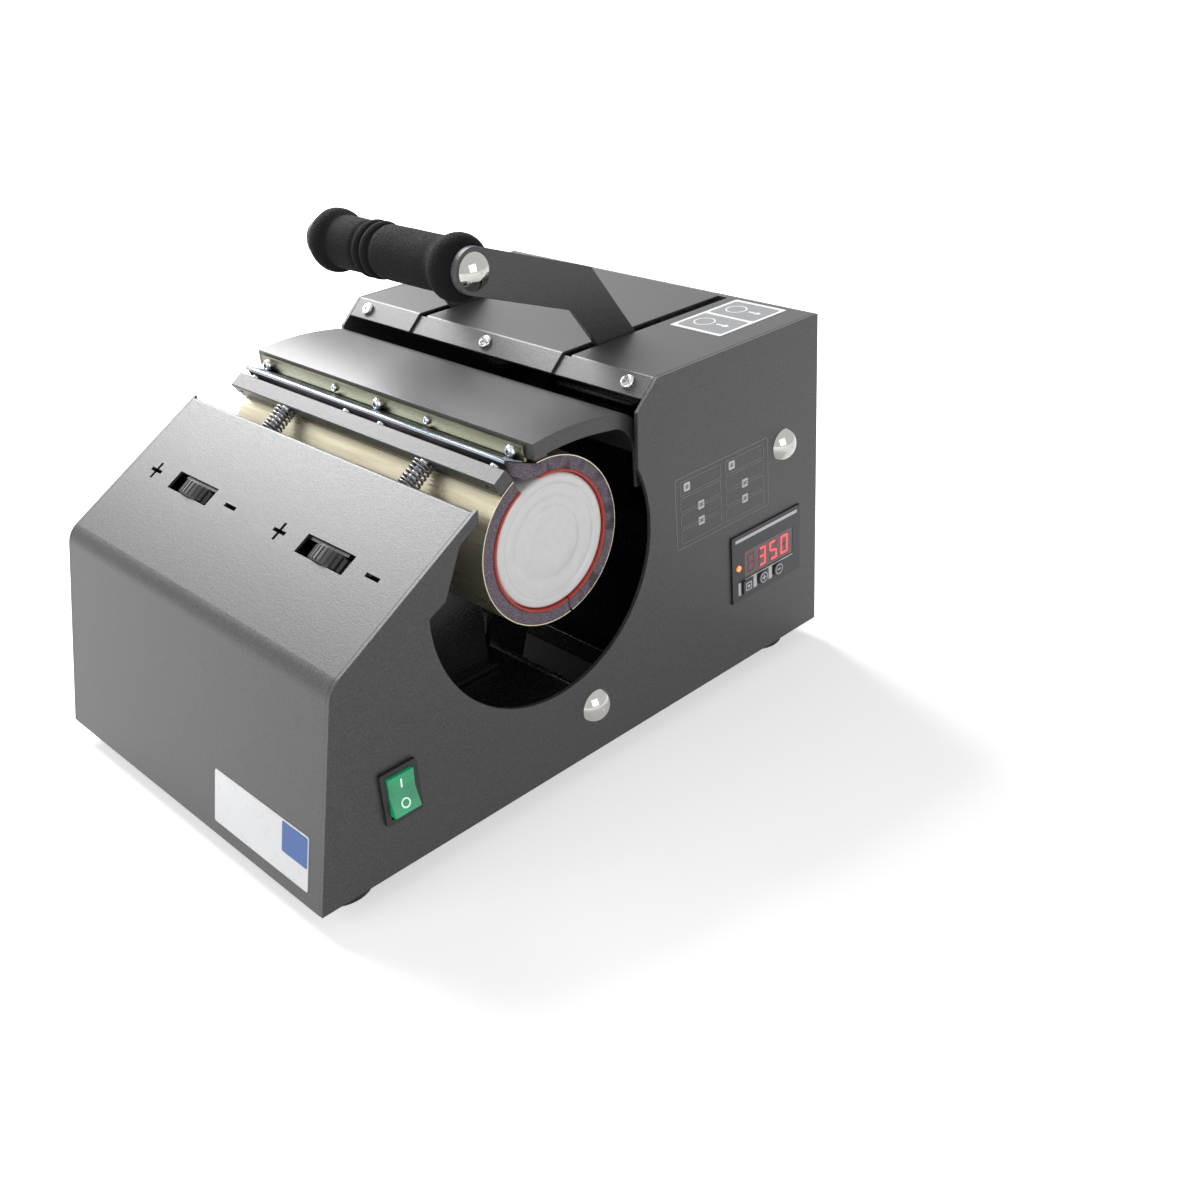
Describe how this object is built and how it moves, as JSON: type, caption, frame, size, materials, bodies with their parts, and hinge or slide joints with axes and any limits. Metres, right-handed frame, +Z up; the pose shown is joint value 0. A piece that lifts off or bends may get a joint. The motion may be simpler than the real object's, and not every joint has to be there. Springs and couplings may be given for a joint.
{
  "type": "tumbler heat press",
  "caption": "Bench heat press for straight tumblers: folded steel body, padded heater sleeve split by a hinged jaw, linked lift handle, rocker switch and keypad.",
  "frame": {"origin": "middle of the footprint, on the surface under the feet", "axes": "+X to the right of a person facing the front, +Y towards the rear panel, +Z up"},
  "size_m": [0.276, 0.3786, 0.287],
  "materials": {
    "painted_shell": "fine textured powder coat",
    "black_steel": "satin black",
    "zinc_steel": "bright zinc",
    "chrome": "mirror",
    "steel_band": "polished",
    "sleeve_foam": "matt",
    "red_silicone": "satin",
    "grip_foam": "matt foam",
    "rubber": "matt",
    "black_plastic": "fine grain",
    "green_plastic": "lit translucent",
    "red_window": "clear red",
    "grey_plastic": "satin",
    "board": "circuit board",
    "white_blank": "gloss white coating"
  },
  "bodies": {
    "root": {"side_plate_left": "painted_shell", "side_plate_right": "painted_shell", "nose_cover": "painted_shell", "top_cover": "painted_shell", "top_crossmember": "painted_shell", "rear_panel": "painted_shell", "base_plate": "painted_shell", "tension_bar": "painted_shell", "bay_liner": "black_steel", "electronics_shield": "black_steel", "spring_bracket": "black_steel", "wheel_bracket": "black_steel", "band_clamp": "black_steel", "cradle_left": "black_steel", "cradle_right": "black_steel", "tension_bolts": "zinc_steel", "tension_springs": "zinc_steel", "lip_screws": "zinc_steel", "rear_screws": "zinc_steel", "foot_screws": "zinc_steel", "inlet_screws": "zinc_steel", "jaw_shaft": "zinc_steel", "handle_shaft": "zinc_steel", "shaft_caps": "chrome", "band_front": "steel_band", "foam_front": "sleeve_foam", "silicone_front": "red_silicone", "feet": "rubber", "switch_bezel": "black_plastic", "power_inlet": "black_plastic", "control_panel": "black_plastic", "display_window": "red_window", "indicator_lamp": "red_window", "control_board": "board"},
    "handle": {"handle_arm_left": "painted_shell", "handle_arm_right": "painted_shell", "handle_tube": "black_steel", "grip_rod": "zinc_steel", "foam_grip": "grip_foam", "grip_caps": "chrome", "crank_pins": "zinc_steel"},
    "jaw": {"jaw_cover": "painted_shell", "jaw_arm_left": "black_steel", "jaw_arm_right": "black_steel", "jaw_tube": "black_steel", "flange_strip": "steel_band", "flange_screws": "zinc_steel", "link_pins": "zinc_steel", "band_rear": "steel_band", "foam_rear": "sleeve_foam", "silicone_rear": "red_silicone"},
    "links": {"link_left": "black_steel", "link_right": "black_steel"},
    "tumbler": {"tumbler_blank": "white_blank"},
    "rocker": {"rocker": "green_plastic"},
    "key_set": {"key_set": "grey_plastic"},
    "key_plus": {"key_plus": "grey_plastic"},
    "key_minus": {"key_minus": "grey_plastic"},
    "thumbwheel_left": {"thumbwheel_left": "black_plastic"},
    "thumbwheel_right": {"thumbwheel_right": "black_plastic"}
  },
  "joints": [
    {"name": "handle_hinge", "type": "hinge", "parent": "root", "child": "handle", "pos_m": [0, 0.15675, 0.14], "axis": [-1, 0, 0], "range_deg": [0, 55]},
    {"name": "jaw_hinge", "type": "hinge", "parent": "root", "child": "jaw", "pos_m": [0, -0.00425, 0.04], "axis": [-1, 0, 0], "range_deg": [0, 10]},
    {"name": "link_hinge", "type": "hinge", "parent": "jaw", "child": "links", "pos_m": [0, 0.04075, 0.152], "axis": [-1, 0, 0], "range_deg": [-14.4, 0]},
    {"name": "tumbler_slide", "type": "slide", "parent": "root", "child": "tumbler", "axis": [1, 0, 0], "range_m": [0, 0.21]},
    {"name": "rocker_hinge", "type": "hinge", "parent": "root", "child": "rocker", "pos_m": [0.129, -0.13585, 0.0568], "axis": [0, 1, 0], "range_deg": [0, 14]},
    {"name": "key_set_press", "type": "slide", "parent": "root", "child": "key_set", "axis": [-1, 0, 0], "range_m": [0, 0.001], "stiffness_N_per_m": 400},
    {"name": "key_plus_press", "type": "slide", "parent": "root", "child": "key_plus", "axis": [-1, 0, 0], "range_m": [0, 0.001], "stiffness_N_per_m": 400},
    {"name": "key_minus_press", "type": "slide", "parent": "root", "child": "key_minus", "axis": [-1, 0, 0], "range_m": [0, 0.001], "stiffness_N_per_m": 400},
    {"name": "thumbwheel_left_turn", "type": "hinge", "parent": "root", "child": "thumbwheel_left", "pos_m": [-0.0645, -0.10654, 0.14193], "axis": [0, 0.829, 0.5592], "continuous": true},
    {"name": "thumbwheel_right_turn", "type": "hinge", "parent": "root", "child": "thumbwheel_right", "pos_m": [0.0645, -0.10654, 0.14193], "axis": [0, 0.829, 0.5592], "continuous": true}
  ],
  "couplings": [
    {"joint": "jaw_hinge", "follows": "handle_hinge", "ratio": 0.18182},
    {"joint": "link_hinge", "follows": "handle_hinge", "ratio": -0.26182}
  ]
}
